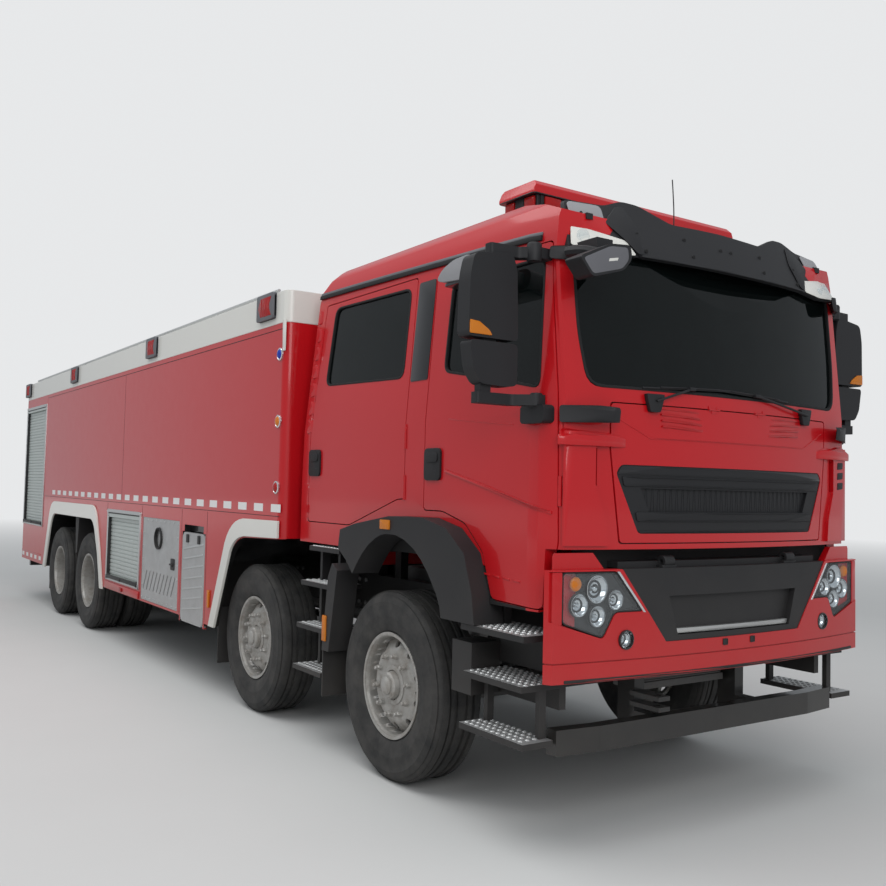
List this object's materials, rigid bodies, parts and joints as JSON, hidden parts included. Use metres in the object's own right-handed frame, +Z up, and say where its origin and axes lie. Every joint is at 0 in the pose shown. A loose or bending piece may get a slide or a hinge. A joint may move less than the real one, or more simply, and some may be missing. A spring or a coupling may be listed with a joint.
{
  "type": "eight-wheeled airport fire tanker truck",
  "caption": "Cab-over fire tanker truck with a four-door crew cab, box tank body with roller shutters, twin-tyred rear bogie and roof monitor.",
  "frame": {"origin": "On the ground under the middle of the whole vehicle", "axes": "+X forward, +Y to the vehicle's left, +Z up"},
  "size_m": [11.93, 3.053, 3.45],
  "materials": {
    "red_paint": "gloss",
    "white_paint": "satin",
    "tyre": "matte",
    "wheel_steel": "satin",
    "glass": "gloss",
    "chassis_black": "satin",
    "engine_iron": "matte",
    "tank_aluminium": "satin",
    "black_plastic": "matte",
    "seat_fabric": "matte",
    "shutter_aluminium": "satin",
    "step_aluminium": "satin",
    "stainless": "brushed",
    "lamp_clear": "gloss",
    "lamp_red": "gloss"
  },
  "bodies": {
    "vehicle": {"chassis": "chassis_black", "front_axles": "chassis_black", "rear_axles": "chassis_black", "engine": "engine_iron", "tanks": "tank_aluminium", "cab_shell": "red_paint", "cab_glass": "glass", "bumper": "red_paint", "bumper_panel": "black_plastic", "headlamps": "lamp_clear", "visor": "black_plastic", "light_bar": "red_paint", "cab_steps": "step_aluminium", "flares": "black_plastic", "seats": "seat_fabric", "dashboard": "black_plastic", "body": "red_paint", "gallery": "white_paint", "arch_trims": "white_paint", "shutters": "shutter_aluminium", "vent_panels": "stainless", "rear_ladder": "step_aluminium", "lamps": "lamp_red"},
    "knuckle_1_left": {"knuckle_1_left": "chassis_black"},
    "knuckle_1_right": {"knuckle_1_right": "chassis_black"},
    "tie_rod_1": {"tie_rod_1": "chassis_black"},
    "knuckle_2_left": {"knuckle_2_left": "chassis_black"},
    "knuckle_2_right": {"knuckle_2_right": "chassis_black"},
    "tie_rod_2": {"tie_rod_2": "chassis_black"},
    "wheel_1_left": {"rim_1_left": "wheel_steel", "tyre_1_left": "tyre"},
    "wheel_1_right": {"rim_1_right": "wheel_steel", "tyre_1_right": "tyre"},
    "wheel_2_left": {"rim_2_left": "wheel_steel", "tyre_2_left": "tyre"},
    "wheel_2_right": {"rim_2_right": "wheel_steel", "tyre_2_right": "tyre"},
    "wheel_3_left": {"rim_3_left": "wheel_steel", "tyre_3_left": "tyre"},
    "wheel_3_right": {"rim_3_right": "wheel_steel", "tyre_3_right": "tyre"},
    "wheel_4_left": {"rim_4_left": "wheel_steel", "tyre_4_left": "tyre"},
    "wheel_4_right": {"rim_4_right": "wheel_steel", "tyre_4_right": "tyre"},
    "door_front_left": {"door_front_left": "red_paint", "glass_front_left": "glass", "mirrors_left": "black_plastic"},
    "door_rear_left": {"door_rear_left": "red_paint", "glass_rear_left": "glass"},
    "step_board_left": {"step_board_left": "step_aluminium"},
    "door_front_right": {"door_front_right": "red_paint", "glass_front_right": "glass", "mirrors_right": "black_plastic"},
    "door_rear_right": {"door_rear_right": "red_paint", "glass_rear_right": "glass"},
    "step_board_right": {"step_board_right": "step_aluminium"},
    "front_flap": {"front_flap": "red_paint"},
    "monitor_turret": {"monitor_turret": "red_paint"},
    "monitor_barrel": {"monitor_barrel": "red_paint"}
  },
  "joints": [
    {"name": "steer_1_left", "type": "hinge", "parent": "vehicle", "child": "knuckle_1_left", "pos_m": [4.35, 0.87, 0.538], "axis": [0, 0, 1], "range_deg": [-35, 35]},
    {"name": "steer_1_right", "type": "hinge", "parent": "vehicle", "child": "knuckle_1_right", "pos_m": [4.35, -0.87, 0.538], "axis": [0, 0, 1], "range_deg": [-35, 35]},
    {"name": "tie_rod_1_pivot", "type": "hinge", "parent": "knuckle_1_left", "child": "tie_rod_1", "pos_m": [4.12, 0.8, 0.458], "axis": [0, 0, 1], "range_deg": [-38.04, 38.04]},
    {"name": "steer_2_left", "type": "hinge", "parent": "vehicle", "child": "knuckle_2_left", "pos_m": [2.4, 0.87, 0.538], "axis": [0, 0, 1], "range_deg": [-24.5, 24.5]},
    {"name": "steer_2_right", "type": "hinge", "parent": "vehicle", "child": "knuckle_2_right", "pos_m": [2.4, -0.87, 0.538], "axis": [0, 0, 1], "range_deg": [-24.5, 24.5]},
    {"name": "tie_rod_2_pivot", "type": "hinge", "parent": "knuckle_2_left", "child": "tie_rod_2", "pos_m": [2.17, 0.8, 0.458], "axis": [0, 0, 1], "range_deg": [-26.68, 26.68]},
    {"name": "wheel_1_left_spin", "type": "hinge", "parent": "knuckle_1_left", "child": "wheel_1_left", "pos_m": [4.35, 1.02, 0.538], "axis": [0, 1, 0], "continuous": true},
    {"name": "wheel_1_right_spin", "type": "hinge", "parent": "knuckle_1_right", "child": "wheel_1_right", "pos_m": [4.35, -1.02, 0.538], "axis": [0, 1, 0], "continuous": true},
    {"name": "wheel_2_left_spin", "type": "hinge", "parent": "knuckle_2_left", "child": "wheel_2_left", "pos_m": [2.4, 1.02, 0.538], "axis": [0, 1, 0], "continuous": true},
    {"name": "wheel_2_right_spin", "type": "hinge", "parent": "knuckle_2_right", "child": "wheel_2_right", "pos_m": [2.4, -1.02, 0.538], "axis": [0, 1, 0], "continuous": true},
    {"name": "wheel_3_left_spin", "type": "hinge", "parent": "vehicle", "child": "wheel_3_left", "pos_m": [-2.2, 0.915, 0.538], "axis": [0, 1, 0], "continuous": true},
    {"name": "wheel_3_right_spin", "type": "hinge", "parent": "vehicle", "child": "wheel_3_right", "pos_m": [-2.2, -0.915, 0.538], "axis": [0, 1, 0], "continuous": true},
    {"name": "wheel_4_left_spin", "type": "hinge", "parent": "vehicle", "child": "wheel_4_left", "pos_m": [-3.59, 0.915, 0.538], "axis": [0, 1, 0], "continuous": true},
    {"name": "wheel_4_right_spin", "type": "hinge", "parent": "vehicle", "child": "wheel_4_right", "pos_m": [-3.59, -0.915, 0.538], "axis": [0, 1, 0], "continuous": true},
    {"name": "door_front_left_hinge", "type": "hinge", "parent": "vehicle", "child": "door_front_left", "pos_m": [5.72, 1.087, 2], "axis": [0, 0, 1], "range_deg": [-65, 0]},
    {"name": "door_rear_left_hinge", "type": "hinge", "parent": "vehicle", "child": "door_rear_left", "pos_m": [4.44, 1.14, 2], "axis": [0, 0, 1], "range_deg": [-75, 0]},
    {"name": "step_board_left_hinge", "type": "hinge", "parent": "vehicle", "child": "step_board_left", "pos_m": [1.31, 1.238, 0.512], "axis": [1, 0, 0], "range_deg": [-90, 0]},
    {"name": "door_front_right_hinge", "type": "hinge", "parent": "vehicle", "child": "door_front_right", "pos_m": [5.72, -1.087, 2], "axis": [0, 0, 1], "range_deg": [0, 65]},
    {"name": "door_rear_right_hinge", "type": "hinge", "parent": "vehicle", "child": "door_rear_right", "pos_m": [4.44, -1.14, 2], "axis": [0, 0, 1], "range_deg": [0, 75]},
    {"name": "step_board_right_hinge", "type": "hinge", "parent": "vehicle", "child": "step_board_right", "pos_m": [1.31, -1.238, 0.512], "axis": [1, 0, 0], "range_deg": [0, 90]},
    {"name": "front_flap_hinge", "type": "hinge", "parent": "vehicle", "child": "front_flap", "pos_m": [5.85, 0, 2.097], "axis": [0, -1, 0], "range_deg": [0, 75]},
    {"name": "monitor_yaw", "type": "hinge", "parent": "vehicle", "child": "monitor_turret", "pos_m": [-4.25, 0, 3.21], "axis": [0, 0, 1], "range_deg": [-170, 170]},
    {"name": "monitor_pitch", "type": "hinge", "parent": "monitor_turret", "child": "monitor_barrel", "pos_m": [-4.25, 0, 3.39], "axis": [0, -1, 0], "range_deg": [-10, 70]}
  ],
  "couplings": [
    {"joint": "steer_1_right", "follows": "steer_1_left", "ratio": 1},
    {"joint": "steer_2_left", "follows": "steer_1_left", "ratio": 0.7},
    {"joint": "steer_2_right", "follows": "steer_1_left", "ratio": 0.7},
    {"joint": "tie_rod_1_pivot", "follows": "steer_1_left", "ratio": -1.081},
    {"joint": "tie_rod_2_pivot", "follows": "steer_1_left", "ratio": -0.7567}
  ]
}
